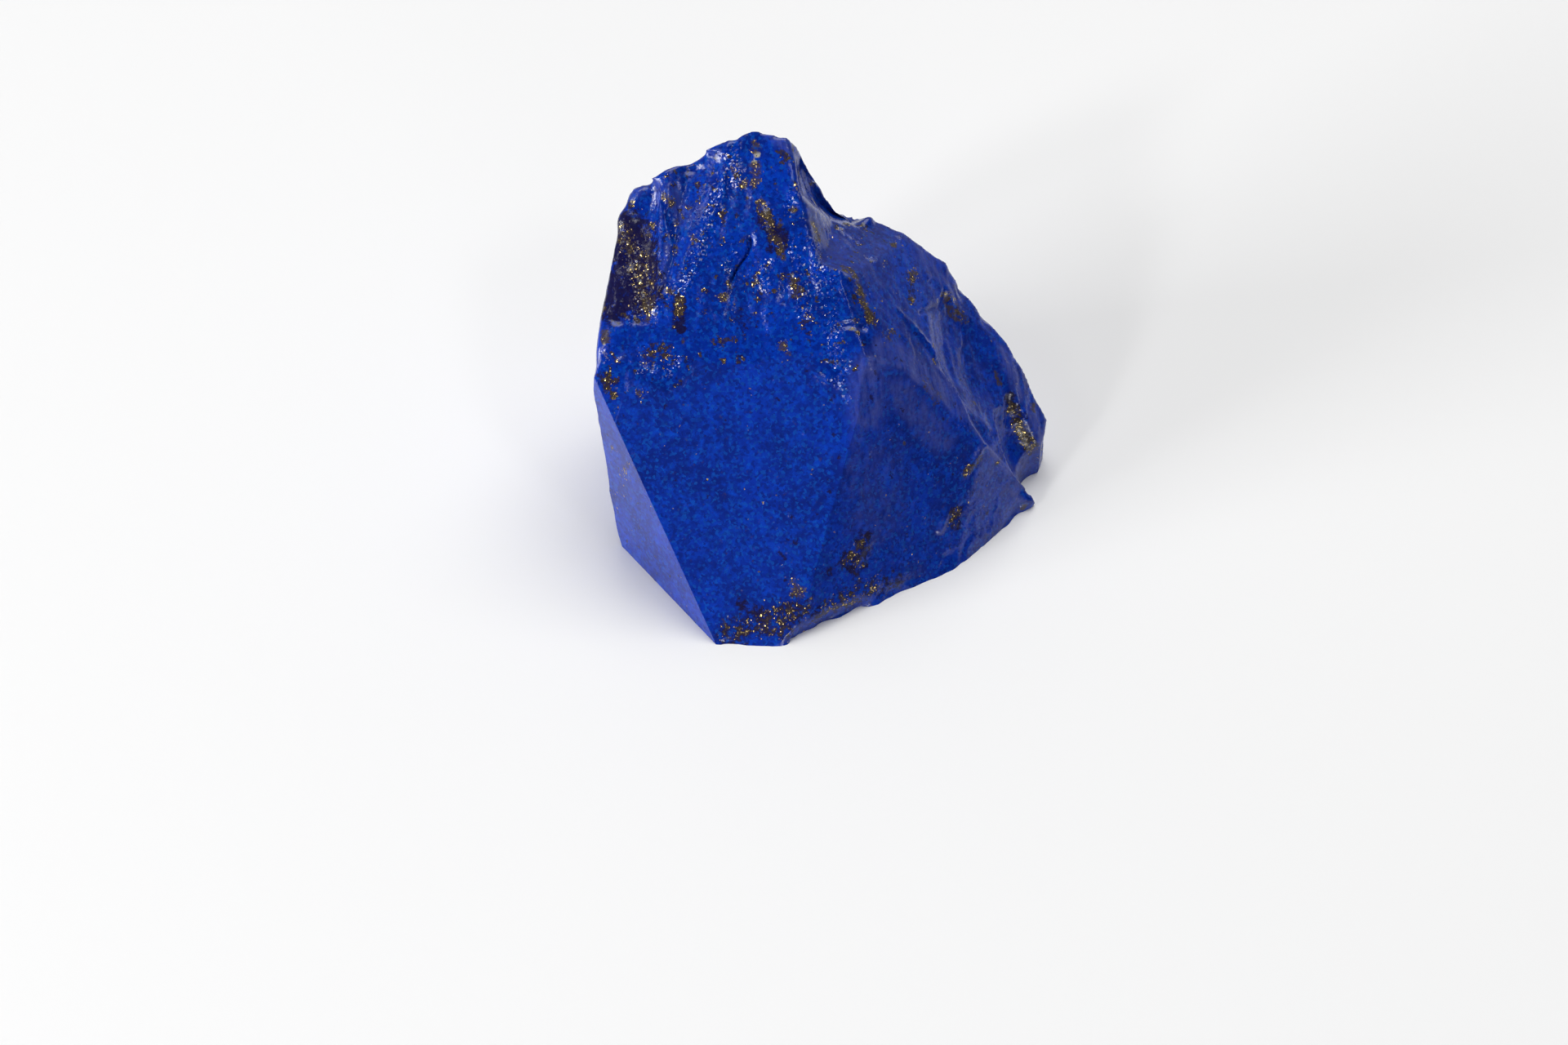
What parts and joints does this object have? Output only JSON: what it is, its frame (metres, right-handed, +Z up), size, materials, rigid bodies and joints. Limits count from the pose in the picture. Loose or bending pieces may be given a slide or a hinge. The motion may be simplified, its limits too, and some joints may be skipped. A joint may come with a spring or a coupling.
{
  "type": "rough lapis lazuli stone",
  "caption": "Hand-sized piece of rough lapis lazuli: deep blue, with a broken top and wing, smooth sawn faces at the front and left, and a flat sawn base to stand on.",
  "frame": {"origin": "middle of the flat base, on the surface that the stone rests on", "axes": "+X to the stone's right, its longest side; +Y to its broken back; +Z up. The sawn front face and the right face look toward -Y."},
  "size_m": [0.0608, 0.0516, 0.0507],
  "materials": {
    "lapis": "satin"
  },
  "bodies": {
    "root": {"lapis_stone": "lapis"}
  },
  "joints": []
}
